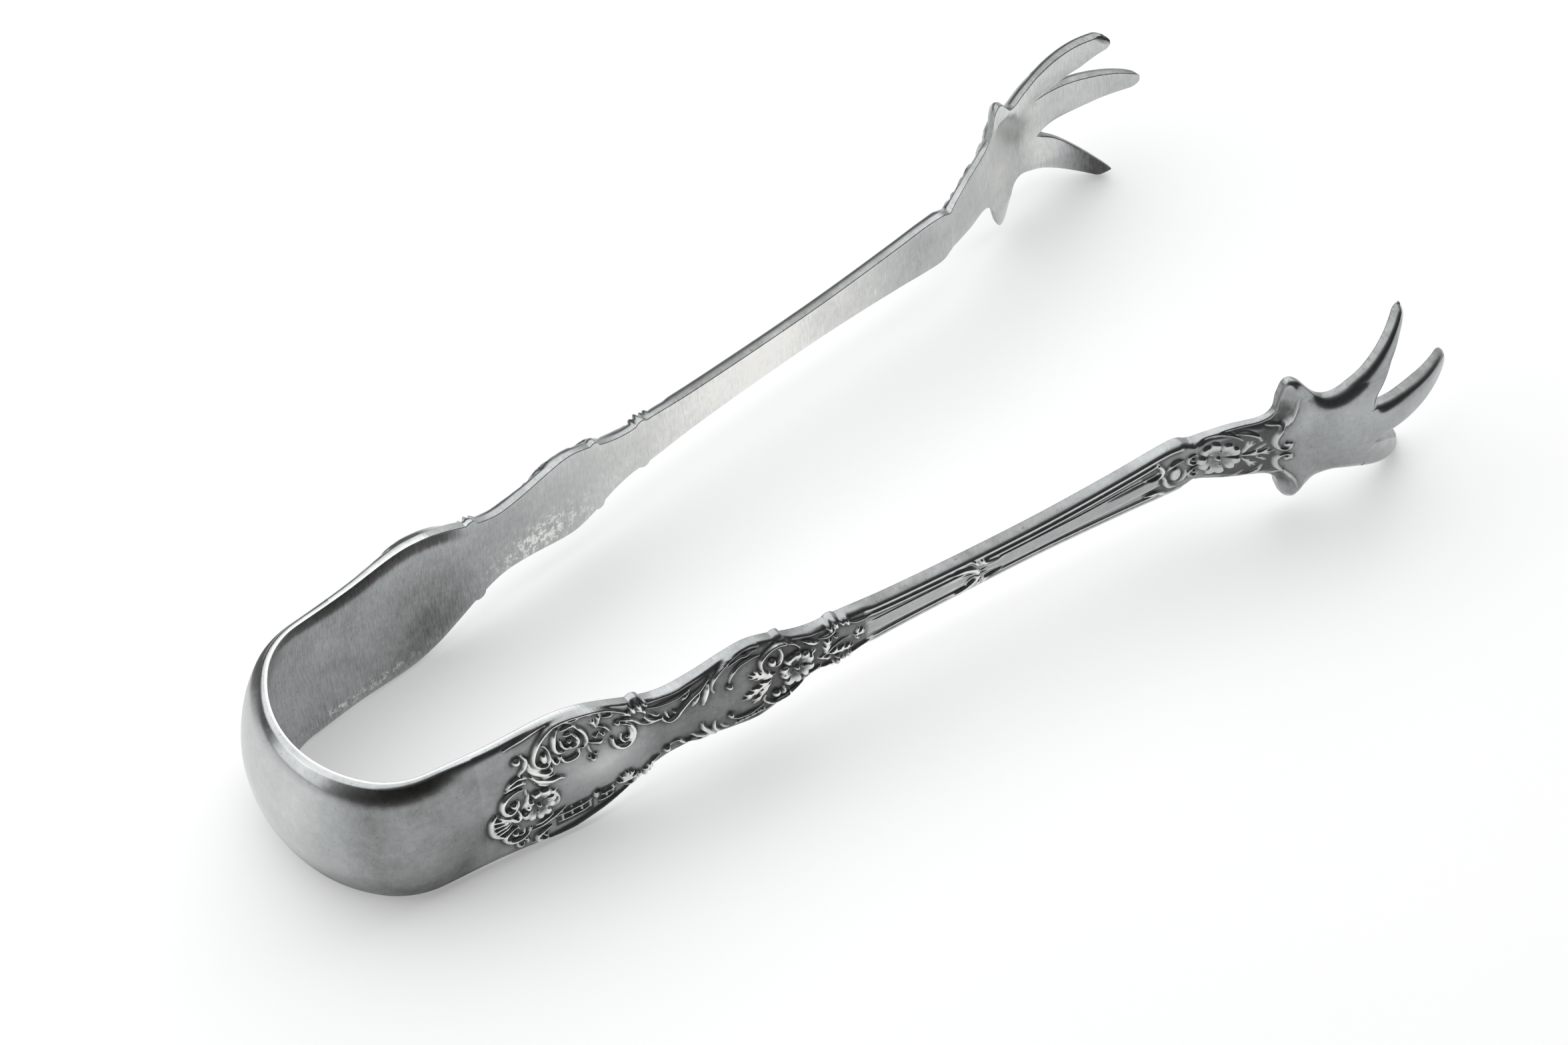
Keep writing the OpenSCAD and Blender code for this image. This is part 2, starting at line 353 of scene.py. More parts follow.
def draw_cartouche(d):
    """Wide panel behind the bow, from the shell to the first bead."""
    s = d.stroke
    # shell at the front, its flutes and the curl behind it
    s("21.2,-.6 20.5,-1.5 20.3,-3 20.5,-4.4 21.2,-5.5 22,-6.2", .5, .5, (.6, .6))
    for z0, z1 in ((-1.9, -2.9), (-3.0, -3.3), (-4.1, -3.8), (-5.1, -4.4)):
        s([(20.9, z0), (22.2, (z0 + z1) / 2), (23.6, z1)], .36, .42, (.9, .3))
    s("21.8,-1.5 23.3,-2.9 24.4,-3.9 25,-3.2 24.7,-1.8", .42, .5)
    # upper volute
    s("25.7,2.2 24.8,2.5 23.4,2.3 22.5,1.3 22.3,0 22.8,-1.2 23.8,-1.5 24.8,-.6 24.9,.4", .48, .6)
    d.ball((24.1, -.3), .6)
    s("23.4,3.8 24.4,4.7 25.4,4.9 26.4,4.3 26.7,3.9", .36, .45)
    s("23.2,3.2 24.4,3.7 25.6,3.6 26.3,3", .42, .38)
    # ball-ended crook
    s("26.1,9.4 26.8,8 26.6,6.8 25.8,5.8 25.5,5.2", .34, .5)
    d.ball((25.4, 8.4), .72)
    # lower volute and its hooks
    s("26.5,-7 25.8,-8 24.6,-8.5 23.2,-8.2 22.3,-7.2 22.4,-6.2 23.2,-5.5 24.2,-5.4 24.7,-6.1", .42, .58)
    d.ball((23.9, -6.7), .58)
    s("25.5,-6.8 25.2,-7.5 24.2,-7.7", .2, .4)
    s("24.2,-9.2 24.3,-10.2 24.9,-10.5 25.3,-10.2", .26, .4)
    s("25,-8.9 25.8,-9.6 25.8,-10.6", .26, .4)
    # wild rose with its leaves
    d.leaf((26.6, .6), (25.8, -2.8), .5, .4, 2)
    d.leaf((26.3, .4), (26.2, 1.9), .35, .4, 1)
    d.leaf((29.2, -.6), (30.9, -1.9), .55, .38, 2)
    d.rose((27.9, -2.6), "28.6,.5 30.7,-3.2 28.7,-5.9 25.7,-5.0 25.9,-1.6", .42,
           "26.9,-1.3 28.9,-1.5 29.4,-2.6 29.0,-3.7 27.6,-4.0 26.7,-3.4")
    s("30.4,-1.3 31,-2.9 30.7,-4 30,-4.7", .25, .5)
    # spray of leaves to the rim
    s("27,6 27.2,5.2 28.3,4 29.4,3.2 30.3,3.2 30.6,3.9", .5, .5)
    s("27.2,3.8 28.3,2.4 30,1.3 31.2,1.1 32.2,.5", .55, .48)
    s("27.8,2.2 28.8,1.2 29.8,.4", .35, .35)
    s("28.6,3.3 29.6,2.5 30.8,2.2", .28, .4)
    # large C scroll along the top edge
    s("43,7.2 42,8 40,9.7 38,10.8 36,11.5 34,12.0 32.5,12.1 31,11.9 29.8,11 28.8,9.7 28.1,8.2 27.9,6.8 "
      "28.3,5.6 29.2,4.9 29.9,4.9 30.4,5.8 30.4,7.2 30,8.5 29.4,9.3", .36, .6)
    d.ball((29.5, 6.5), .6, .6, 1.2)
    s("27.1,7.6 27.3,6 28.2,4.9 29.4,4.4", .28, .45)
    s("30.3,10.4 31,11 31.8,11.6 33.3,11.6 34.4,11.1 36.2,11.2 37.2,10.6 38.3,10.4 38.9,9.5", .22, .4)
    # cabbage rose
    s("32.1,11 31.4,9.6 31.2,7.6 31.8,6.3 32.8,6.0", .42, .6)
    s("32.6,10.2 33.8,10.6 34.8,10", .34, .5)
    s("32.3,8.6 32.4,7.4 33,6.6 33.8,6.4", .3, .62)
    s("34,9 34.7,7.8 34.9,7 34.4,6.3 33.4,6.0", .32, .62)
    s("32.9,8.9 33.6,9.2 34.2,8.7", .26, .55)
    s("34.4,10.2 35.3,9 36,7.6 36.2,6 35.9,5.2 35.4,4.9", .36, .55)
    s("30.7,6 30.8,5 31.2,4.4 31.7,4.8 31.8,5.5", .3, .5)
    s("32.1,5.3 32.3,4.3 33,3.8 34.1,3.8 34.8,4.3 35,5.2", .36, .52)
    d.ball((33.5, 7.7), .4, .6)
    # sprig of buds
    for base, tip, half in (
            ((38, 7.4), (37.3, 9.7), .42), ((38.2, 7.8), (38.7, 9.8), .36),
            ((39, 8.9), (41, 8.2), .36), ((38.3, 6.6), (37.2, 5.6), .32),
            ((38.2, 6.3), (39.2, 5.3), .32), ((36.4, 5.4), (39.1, 3.7), .42)):
        d.leaf(base, tip, half, .48, 2)
    s("38,7.7 38.9,7.2 39.6,6.1 40,5.1", .22, .45)
    s("36.3,4.8 36.5,3.6 36.9,2.7", .16, .36)
    d.ball((36.9, 1.5), .5, .45)
    d.ball((36.35, 2.2), .3, .4)
    d.ball((37.35, 2.4), .3, .4)
    d.ball((37.5, 6.1), .3, .5)
    d.ball((38.7, 5.7), .3, .5)
    # right volute
    s("40,4 40.1,2.8 40.6,1.8 41.6,1.2 42.6,1.5 43.3,2.6 43.4,3.8 42.9,5 41.8,5.8", .45, .62, (.7, .4))
    s("41.6,4 41.3,3 41.8,2.2 42.6,2.4 42.9,3.2 42.8,4.4", .26, .5)
    d.ball((42.2, 2.9), .38, .55)
    d.ball((41.1, 6.5), .5)
    s("41.3,6.5 42,6.4 43,5.9 43.9,5", .22, .42)
    s("42,7.4 42.9,7 43.5,6.2", .24, .42)
    s("42,5.9 43.4,5.4 44.4,4.2 45.6,3.4 47,2.9 48,2.7", .22, .4)
    # lower edge: rim, leaves, lattice, shell
    s("26.5,-11 29,-11.7 33,-11.7 36,-11 38,-10.4 40,-9.7 42,-8.9 43.2,-8.3", .3, .5)
    s("26.5,-8 28,-7.8 29.8,-7.1 31,-6.6 32.1,-6.1", .3, .42)
    s("27.3,-7.4 28.6,-6.8 30,-6.4", .3, .4)
    s("29.6,-8.9 28.3,-9.2 27.4,-9.9 27.3,-10.7 28,-11.3 28.9,-11.4", .38, .55)
    d.ball((28.6, -10.3), .42)
    for x0, z0, z1 in ((31.4, -7.0, -9.2), (32.9, -6.8, -9.4), (34.4, -6.8, -9.3), (35.8, -7.2, -9),
                       (38.4, -6.9, -8.9), (39.5, -6.5, -8.3)):
        s([(x0, z0), (x0 + .1, z1)], .16, .26, (.5, .5))
    for x0, x1, z0 in ((30.4, 36.2, -7.6), (30.8, 36, -9.1), (37.2, 40, -7.5), (37.2, 39.6, -8.8)):
        s([(x0, z0), ((x0 + x1) / 2, z0 + .25), (x1, z0 + .15)], .24, .42, (.4, .4))
    for x0, x1, z0, z1 in ((30.4, 36.4, -10, -6.4), (37, 40, -9.4, -6)):
        w = d.window((x0, z0), (x1, z1))
        d.dark[w] = np.where(d.high[w] < 0.1, 0.8, d.dark[w])
    for k in range(6):
        a = k * math.pi / 3
        d.ball((37 + .5 * math.cos(a), -6.8 + .5 * math.sin(a)), .32, .45)
    d.ball((37, -6.8), .28, .55)
    for k in range(5):
        a = math.radians(20 + 35 * k)
        s([(41.8, -7.1), (41.8 + 1.5 * math.cos(a), -7.1 + 1.9 * math.sin(a))], .34, .5, (.5, 1))
    s("41.2,-7.3 41.8,-6.8 42.8,-6.8 43.2,-7.6 42.5,-8.4 41.6,-8.2", .26, .5)
    # smooth lip along the top edge
    s("24,11.4 27,11.9 30,12.5 33,12.6", .3, .2)


def draw_bead(d):
    """Gadroons and knobs where the strip is narrowed at X 44.6 and 76.2."""
    for side in (1, -1):
        s = partial(d.stroke, side=side)
        for x0 in (43.6, 44.6, 45.6):
            s([(x0, 7.9), (x0 + .1, 7.4), (x0 + .35, 6.5)], .4, .5, (.7, .4))
        s("44.4,6.6 45.1,6.4 45.7,5.4", .3, .5)
        for x0, z0 in ((75.2, 4.4), (76.2, 4.5), (77.2, 4.4), (78, 4)):
            s([(x0, z0 + .4), (x0 + .1, z0 - .4), (x0 + .3, z0 - 1.2)], .36, .5, (.9, .4))


def draw_panel(d):
    """Scrolled panel between the two beads."""
    s = d.stroke
    s("46,6.9 50,6.2 53,6.6 56,7.3 59,8.1 62,8.5 64,7.9 66.6,6.9", .36, .3)
    s("68.2,6.5 69.5,5.6 71,4.9 72.5,4.3 74.2,4", .34, .3)
    s("46,6.0 47.5,5.5 49.5,5.2 51.5,5.3 53,5.8", .18, .36)
    s("51.4,4.3 52,4.9 52.7,5.4", .25, .4)
    s("45.2,5 45.8,4 46.8,3.3 47.9,2.9", .28, .42)
    s("46.2,5.1 46.8,4.3 47.7,3.6", .2, .4)
    s("48,3.2 48.1,2.4 48.6,1.8 49.3,1.6 50.2,2 51,2.8 52,3.6 53,4.3 54.2,4.8 55.8,6.1", .36, .5)
    s("48.6,3.8 48.8,2.8 49.2,2.1", .2, .4)
    d.ball((49.9, 3.1), .32)
    s("54.2,4.3 53.6,3.4 52.8,2.3", .3, .42)
    s("55.6,5.2 55.1,3.6 54.8,2.9 54.4,1.5", .42, .5)
    s("56.3,2.8 56,3.6 56.2,4.8 57,6 58.2,6.9 59.8,7.6 61.5,8.0 63,7.9 64,7.5", .26, .5)
    s("58.8,3.2 59,4 59.6,5 60.6,5.8 62,6.1 63.3,6 64,5.7", .22, .42)
    d.ball((58.7, 2.6), .55)
    s("58.9,6.4 60.2,7.0 61,7.2 61.8,7.0 62.6,7.3 63.6,7.1", .2, .36)
    # lower edge
    d.ball((48.3, -4.4), .6)
    s("48.8,-4 49.6,-3.5 50.4,-3.9 51,-4.8 52,-5.1 53.2,-5.8 54.5,-6.3 56,-6.8", .28, .45)
    s("47.2,-5 46.2,-5.4 45.5,-6.4 45,-7.4", .3, .45)
    s("52.3,-3.9 53.2,-4.9 54.4,-5.7 55.6,-6.4", .3, .42)
    s("54,-2.5 54.2,-3.8 54.8,-4.8 55.6,-6 56.4,-6.8", .45, .5)
    s("56.1,-3.5 55.9,-4.6 56.2,-5.6 57,-6.6", .32, .45)
    s("57,-4.9 57.4,-5.7 58.3,-6.5", .16, .36)
    d.ball((58.6, -3.8), .5)
    s("58.4,-4.2 59,-4.9 60,-5.4 61.5,-5.6 63,-5.4 64,-5.2", .22, .42)
    for k in range(5):
        s([(59.3 + k, -6.9), (59.8 + k, -6.3), (60.3 + k, -6.9)], .18, .36)
    s("46,-7 50,-6.2 54,-6.9 58,-7.5 62,-8 66,-6.8 70,-5.2 73.5,-4.2", .3, .3)
    # volutes either side of the second rose
    s("66,.6 64.8,1.2 64,2.6 63.8,4.2 64.4,5.2 65.6,5.9 67,6 68.2,5.5 69.4,4.6 70.3,3.2", .3, .58)
    s("67,5.2 67.3,4.2 67.1,3 66.4,2.2 65.6,2.4", .28, .5)
    d.ball((65.6, 3.3), .7, .7, .85)
    s("64.4,-3 64,-4 64.6,-5.1 65.8,-5.8 67.5,-5.7 69,-5.2 70.4,-4.3 70.8,-3.6", .3, .58)
    s("67.2,-3.2 67.4,-4.2 67,-5", .26, .5)
    d.ball((66, -3.9), .75)
    for base, tip, half, lobes in (
            ((65.7, .2), (61.8, 3), .85, 4), ((65.4, -.1), (60.4, -2), .8, 4),
            ((65.3, -.6), (62.2, -4.1), .62, 3), ((74.2, -.7), (75, 2.3), .65, 3),
            ((73, -.9), (75.3, -2.5), .42, 2), ((74.6, -1), (79, -1.9), .72, 4),
            ((71.6, .8), (72.8, 1.6), .4, 2), ((78.9, .2), (81, .2), .6, 2),
            ((79.4, .4), (80, 1.5), .4, 1), ((79.2, -.2), (79.8, -1.3), .36, 1)):
        d.leaf(base, tip, half, .46, lobes)
    d.rose((69.4, -.2), "69,2.9 72,1.4 71.7,-2.6 68.8,-3.8 66.7,-.4", .48,
           "68.4,1.0 69.6,1.2 70.6,.4 70.6,-.9 69.6,-1.6 68.3,-1.2")
    s("73,-.8 74.2,-1 75.5,0 77,.6 78.4,.3", .15, .36)
    d.ball((76, 2), .36)
    s("73.4,3 74.8,2.8 75.8,3.2 76.2,4", .3, .45)
    s("71,4 72.4,2.8 73.3,2.4", .4, .42)
    s("82,2.5 80.5,2.6 79.2,2.9 78.2,3.4", .25, .42)
    s("71,-3.4 72.5,-3.1 73.4,-2.8", .4, .42)
    s("73.5,-3.5 74.6,-3.5 75.3,-4", .28, .42)
    d.ball((76.1, -2.6), .36)
    s("78,-4 79,-3.2 80.5,-2.8 82,-2.7", .25, .42)


def draw_shank(d):
    """Rounded rails with sunk channels, crossed by scrolls in the middle."""
    w = d.window((79, -6), (136, 6))
    x, z = d.X[w], d.Z[w]
    e = half_width(x) - abs(z)
    start = ease(x, 80.5, 83)
    on = start * ease(131 - x, 0, 1.5) * (1 - 0.9 * ease(2.2 - abs(x - 99.2), 0, 1.2))
    wide = np.where(z > 0, ease(x, 116, 127), 0)

    def groove(c, r):
        return unit(1 - ((e - c) / r) ** 2)

    strip = np.sqrt(groove(1.62, 0.36)) * 0.3
    ridge = np.sqrt(unit(1 - ((abs(z) - 1.1 - 0.45 * wide) / 0.17) ** 2)) * 0.24
    rail = np.sqrt(groove(0.35, 0.75)) * 0.28
    field = 0.14 * ease(1.0 + 0.9 * wide - abs(z + 0.5 * wide), 0, 0.25)
    rail_on = start * ease(135.2 - x, 0, 1.2)
    shape = np.maximum(np.maximum.reduce([strip, ridge, field]) * on, rail * rail_on)
    q = (0.48 - 0.1 * ease(e, 0.9, 1.3) + 0.07 * (ridge + strip > 0.05)) * (shape > 0.04)
    d.lay(w, shape, q * np.ones(x.shape))
    sunk = np.maximum(groove(1.16, 0.2), groove(2.12, 0.2)) + wide * unit(1 - ((z - 1.0) / 0.5) ** 2)
    d.dark[w] = np.maximum(d.dark[w], unit(sunk) * on)
    for side in (1, -1):
        s = partial(d.stroke, side=side)
        s("94.5,2.2 96.5,2.1 98,1.7 99.1,1.0 99.5,.4", .52, .6, (.25, .9))
        s("98.8,2.8 99.4,2.2 99.9,1.4", .3, .5)
        s("97.3,1.9 97.6,1.4 97.5,1.1", .16, .4)
        s("100.3,2.2 100.8,1.6 101.9,1.35 103.8,1.2", .42, .55, (.9, .2))
        s("100.1,1.7 100.4,1.0", .16, .4)
        s("94,.75 97,.7 98.6,.3 99.6,.2 101,.4 104,.75", .14, .3)
    # leaves and bud at the end of the channels
    s = d.stroke
    s("127.9,1.3 129,.9 130.2,.8 131,1.4 130.9,2.2 130.4,2.9", .45, .5, (.3, .6))
    s("127.9,-2.1 129.4,-2.3 130.6,-3 131.5,-3.8", .42, .5, (.3, .7))
    s("130.9,.5 131.3,-.3 131.4,-1.2 132,-2.3 133.2,-3", .4, .5)
    d.ball((133.1, -.3), 1.0, .5, 1.45)
    s("131.9,1.2 132.6,1.9 133.6,2.2 134.5,1.9", .3, .55)
    s("133.8,-2.4 134.6,-1.4 134.8,-.4", .32, .45)


def draw_claw_root(d):
    """Ornament from the bend to the palm."""
    for side in (1, -1):
        s = partial(d.stroke, side=side)
        s("137,.6 136,.3 135.2,1 135.4,1.9 136.2,2.2 136.7,1.6", .24, .5)
        d.ball((136, 1.2 * side), .3)
        s("136.4,3.2 137.2,4.1 138.6,4.6 140,4.7 141.2,4.5 142.2,3.9 142.8,3.2", .2, .42)
        s("142.2,4.5 143.6,4.3 144.8,3.5 145.2,2.6", .34, .46)
        s("150.5,9.8 150,8 149,6.1 148,4.7 147.1,3.3 146.8,2 147.1,1.0 147.9,.5 148.7,.8 "
          "148.9,1.6", .3, .42, (.3, .8))
        d.ball((148.3, 1.5 * side), .52, .42)
        d.leaf((146, 5.4 * side), (148.6, 5 * side), .45, .4, 1)
    d.rose((139.4, .3), "138.4,3.5 141.9,2.5 142,-1.7 138.9,-3.1 136.5,-.4", .45,
           "138.6,1.3 139.8,1.6 140.7,.8 140.6,-.4 139.6,-1.1 138.4,-.7")
    d.leaf((142.6, .6), (144.1, 2.9), .5, .42, 2)
    d.leaf((142.4, .2), (146.8, .3), .6, .46, 3)
    d.leaf((142.6, -.3), (144.4, -2.6), .5, .42, 2)
    d.leaf((144.4, .9), (145.8, 2.0), .34, .36, 1)
    d.leaf((144.4, -.5), (145.8, -1.6), .34, .36, 1)


def plain_wear(x, z, gap):
    """Brightness of the outer face where it has no relief, with painted shade along its lower edge before X
    44. gap is the distance to the edge.
    """
    oval = 0.29 * spot(x, z, 38.5, -0.5, 4, 3)
    # painted shade: darker within about 2 mm of the lower edge before X 44, where the floor's shadow lies
    # under the strip
    painted_under_shade = 0.12 * fall(gap, 0.5, 2.2) * (z < 0) * (x < 44)
    return 0.49 - 0.05 * fall(x, 21, 32) + oval - 0.15 * ease(x, 43, 48) * fall(x, 78, 84) - painted_under_shade


# Z and the X where the sunk ground of the claw's root ends
PALM_EDGE = ([0, 2, 3.3, 4.7, 6.1, 8, 10, 12.5], [147.1, 146.9, 147.1, 147.9, 148.8, 149.6, 150, 150.2])


def cut_die():
    """Height, and how worn bright (1) or darkened (0) each place is: darkened by tarnish in the hollows, and
    by painted shade along the lower edge near the bow.
    """
    d = Die()
    for draw in (draw_shank, draw_cartouche, draw_panel, draw_bead, draw_claw_root):
        draw(d)
    raised = (d.high > 0.05).astype(float)
    near = np.maximum(unit(2.5 * blur(raised, 0.28, STEP)),
                      0.5 * unit(2.4 * blur(raised, 0.8, STEP)))
    to_palm = d.X - np.interp(abs(d.Z), *PALM_EDGE)
    root = ease(d.X, 137.2, 138.4) * fall(to_palm, -0.35, 0.05) * (1 - 0.75 * ease(abs(d.Z), 7.5, 10))
    gap = half_width(d.X) - abs(d.Z)
    inner = np.maximum(ease(gap, 0.9, 1.5), 0.8 * ease(d.X, 145, 146.5))
    claw = ease(d.X, 128, 136)
    ground = np.maximum(near * (1 - 0.35 * claw), root * 0.62 * inner)
    ground = np.where((d.X > 81) & (d.X < 127.5), d.dark, np.maximum(ground, d.dark))
    plain = plain_wear(d.X, d.Z, gap)
    wear = plain * (1 - 0.84 * ground)
    worn = (0.17 + 0.79 * ease(d.top, 0.05, 0.7)) * (1 - claw) + (0.3 + 0.4 * ease(d.top, 0.05, 0.6)) * claw
    wear = np.where(d.high > 0.05, worn, wear)
    wear = np.where(d.dark > 0.5, np.minimum(wear, 0.5 - 0.44 * d.dark), wear)
    d.wear = blur(wear, 0.05, STEP)
    deeper = 1.3 - 0.3 * ease(d.X, 78, 84)
    d.high = blur(d.high, 0.05, STEP) * deeper - 0.14 * blur(near, 0.15, STEP) - 0.42 * blur(root, 0.15, STEP)
    return d


DIE = cut_die()


def stamped(x, z):
    """Relief height, and worn brightness with painted shade, of the die at the points."""
    fx = np.clip((x - DIE.x[0]) / STEP, 0, len(DIE.x) - 1.001)
    fz = np.clip((z - DIE.z[0]) / STEP, 0, len(DIE.z) - 1.001)
    i, j = fx.astype(int), fz.astype(int)
    u, v = fx - i, fz - j

    def at(a):
        return (a[i, j] * (1 - u) * (1 - v) + a[i + 1, j] * u * (1 - v)
                + a[i, j + 1] * (1 - u) * v + a[i + 1, j + 1] * u * v)

    inside = (x > DIE.x[0]) & (x < DIE.x[-1])
    return np.where(inside, at(DIE.high), 0), np.where(inside, at(DIE.wear), 0.5)


# ---- lofts: closed rings of points
ROUND = 5  # points of each rounded corner of the section
INNER_CORNER = 0.14
OUTER_CORNER = ([0, 12, 24, 43.3, 44, 45.2, 45.9, 60, 74, 84, 128, 136, 145, 178],
                [0.34, 0.34, 0.36, 0.42, 1.0, 1.0, 0.42, 0.65, 0.85, 0.55, 0.55, 0.7, 0.5, 0.6])
CORNER_DROP = ([74, 84, 128, 136], [1.0, 1.8, 1.8, 1.0])  # depth of the outer corner over its width
INNER_WEAR = ([0, 25, 40, 55, 75, 98, 115, 130, 145, 160, 178],
              [0.5, 0.46, 0.49, 0.61, 0.79, 1.04, 0.84, 0.58, 0.75, 0.78, 0.62])
EDGE_WEAR = ([0, 16, 26, 40, 46, 78, 84, 120, 134, 141, 150, 178],
             [0.8, 0.74, 0.62, 0.6, 0.45, 0.42, 0.36, 0.38, 0.45, 0.46, 0.4, 0.36])
COLS, BACK = 220, 44  # columns across the outer and the inner face
WELD = 2e-6  # metres within which a claw's points are joined


def even(n):
    return np.linspace(0, 1, n + 1)


def edges(x, h):
    """[X, Z] of the strip's lower and upper edge."""
    return np.stack([x, -h], -1), np.stack([x, h], -1)


def ring_loft(lo, hi, cols, back, faces, corner_lo=None, corner_hi=None):
    """Rings of a strip between its two edges.

    lo and hi are the edges' [X, Z] at each station. cols and back are the places across
    it, 0 to 1, of the outer and inner points. faces(x, z, t, which, drop) gives their
    3-D places and their worn brightness with painted light and shade; which is 0 for
    the outer face and 1 for the inner one. Returns points [station, ring, 3], and that
    brightness and inside for each point.
    """
    span = np.linalg.norm(hi - lo, axis=1)
    usual = np.interp(lo[:, 0], *OUTER_CORNER)
    r_lo = np.minimum(usual if corner_lo is None else corner_lo, span * 0.3)
    r_hi = np.minimum(usual if corner_hi is None else corner_hi, span * 0.3)
    in_lo, in_hi = np.minimum(r_lo, INNER_CORNER), np.minimum(r_hi, INNER_CORNER)
    quarter = (np.arange(1, ROUND + 1) / ROUND) * math.pi / 2
    parts, wears, insides = [], [], []

    def across(s, r0, r1):
        c0, c1 = (r0 / span)[:, None], (r1 / span)[:, None]
        return c0 + s[None, :] * (1 - c0 - c1)

    def bend(r, which):
        drop = r if which else r * np.interp(lo[:, 0], *CORNER_DROP)
        return (r / span)[:, None] * (1 - np.sin(quarter)), drop[:, None] * (1 - np.cos(quarter))

    def add(t, which, drop=0.0, edge=False):
        xz = lo[:, None, :] * (1 - t[..., None]) + hi[:, None, :] * t[..., None]
        p, wear = faces(xz[..., 0], xz[..., 1], t, which, drop)
        parts.append(p)
        # painted shade darkens the lower edges near the bow; a painted dark reflection darkens the top outer
        # corner before X 40, and the inner corners there are lighter
        painted_edge_darkening = 0.5 * ease(-p[..., 2], 3, 8) * fall(p[..., 0], 19, 32)
        if which == 0:
            painted_edge_darkening = painted_edge_darkening + ((0.3 - 0.12 * ease(p[..., 0], 12, 20)) * ease(p[..., 2], 0, 4)
                           * fall(p[..., 0], 34, 40))
        else:
            painted_edge_darkening = painted_edge_darkening - 0.1 * fall(p[..., 0], 34, 42)
        wears.append(np.interp(p[..., 0], *EDGE_WEAR) - painted_edge_darkening if edge else wear)
        insides.append(which * (1 + flaky(p[..., 0], p[..., 2])))

    def corner(r, which, far, back_to_front):
        t, drop = bend(r, which)
        t = 1 - t if far else t
        if back_to_front:
            t, drop = t[:, ::-1], drop[:, ::-1]
        add(t, which, drop, True)

    add(across(cols, r_lo, r_hi), 0)
    corner(r_hi, 0, True, False)
    corner(in_hi, 1, True, True)
    add(across(back[::-1], in_lo, in_hi), 1)
    corner(in_lo, 1, False, False)
    corner(r_lo, 0, False, True)
    return np.concatenate(parts, 1), np.concatenate(wears, 1), np.concatenate(insides, 1)


def ring_quads(n, m, start):
    """Quads between n rings of m points, whose first point is number start."""
    i, j = np.meshgrid(np.arange(n - 1), np.arange(m), indexing="ij")
    k, here, after = (j + 1) % m, start + i * m, start + (i + 1) * m
    return np.stack([here + j, here + k, after + k, after + j], -1).reshape(-1, 4)


def link(obj):
    bpy.context.scene.collection.objects.link(obj)


def make_piece(name, lofts, body, mirror, weld=False):
    """Mesh from one or more ring lofts, its ends closed by flat, sharp-edged faces.

    mirror makes the near arm's piece. Of several lofts, the first is the root of the rest.
    """
    points, wear, inside, quads, ends = [], [], [], [], []
    start = 0
    for k, (p, w, ins) in enumerate(lofts):
        n, m = p.shape[:2]
        points.append(p.reshape(-1, 3))
        wear.append(w.ravel())
        inside.append(ins.ravel())
        quads.append(ring_quads(n, m, start))
        if k == 0:
            ends.append(list(range(start, start + m)))
        if k > 0 or len(lofts) == 1:
            last = start + (n - 1) * m
            ends.append(list(range(last + m - 1, last - 1, -1)))
        start += n * m
    points = np.concatenate(points)
    if mirror:
        points = points * [1, -1, 1]
    polys = np.concatenate(quads)
    if not mirror:
        polys = polys[:, ::-1]
        ends = [e[::-1] for e in ends]
    mesh = bpy.data.meshes.new(name)
    mesh.from_pydata(to_row(points).tolist(), [], polys.tolist() + ends)
    # per-point brightness: real wear together with painted light and shade
    for key, values in (("wear", wear), ("inside", inside)):
        values = np.concatenate(values).astype(np.float32)
        mesh.attributes.new(key, "FLOAT", "POINT").data.foreach_set("value", values)
    obj = bpy.data.objects.new(name, mesh)
    link(obj)
    if weld:
        bm = bmesh.new()
        bm.from_mesh(mesh)
        bmesh.ops.remove_doubles(bm, verts=bm.verts, dist=WELD)
        bm.to_mesh(mesh)
        bm.free()
    mesh.validate()
    sides = np.empty(len(mesh.polygons), np.int32)
    mesh.polygons.foreach_get("loop_total", sides)
    mesh.polygons.foreach_set("use_smooth", sides <= 4)
    sharp = np.zeros(len(mesh.edges), bool)
    for p in mesh.polygons:
        if p.loop_total > 4:
            for li in range(p.loop_start, p.loop_start + p.loop_total):
                sharp[mesh.loops[li].edge_index] = True
    mesh.attributes.new("sharp_edge", "BOOLEAN", "EDGE").data.foreach_set("value", sharp)
    mesh.materials.append(SILVER)
    if body:
        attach(obj, body)
    return obj


# ---- arms
def seam_stations(x0, x1, step):
    """Even stations with a very short first and last one, so that neighbours' shading meets."""
    n = int(math.ceil((x1 - x0) / step))
    x = np.linspace(x0, x1, n + 1)
    return np.concatenate([[x[0]], [x[0] + 0.02], x[1:-1], [x[-1] - 0.02], [x[-1]]])


def flaky(x, z):
    """Where the tarnish of the inner face has partly flaked off."""
    return unit(1.2 * spot(x, z, 56, -4.5, 8, 3.2) + 1.3 * spot(x, z, 22, -10.2, 9, 0.9))


def inner_wear(x, z):
    """Brightness of the inner face.

    It's darker along its upper edge near the bow, where shade is painted, in the cartouche, and at the low
    talon's end, where a dark reflection is painted.
    """
    from_top = half_width(np.maximum(x, 0)) - z
    wear = np.interp(x, *INNER_WEAR)
    # painted shade along the upper edge, under the rim, from the bow to the cartouche
    wear = wear - 0.3 * fall(from_top, 1.3, 2.8) * ease(x, 2, 12) * fall(x, 39, 45)
    wear = wear - 0.15 * spot(x, z, 36, -5, 8, 8)
    # painted dark reflection on the inner face at the lower talon's end
    return wear - 0.5 * ease(x, 161.5, 169) * ease(-z, 6, 8)


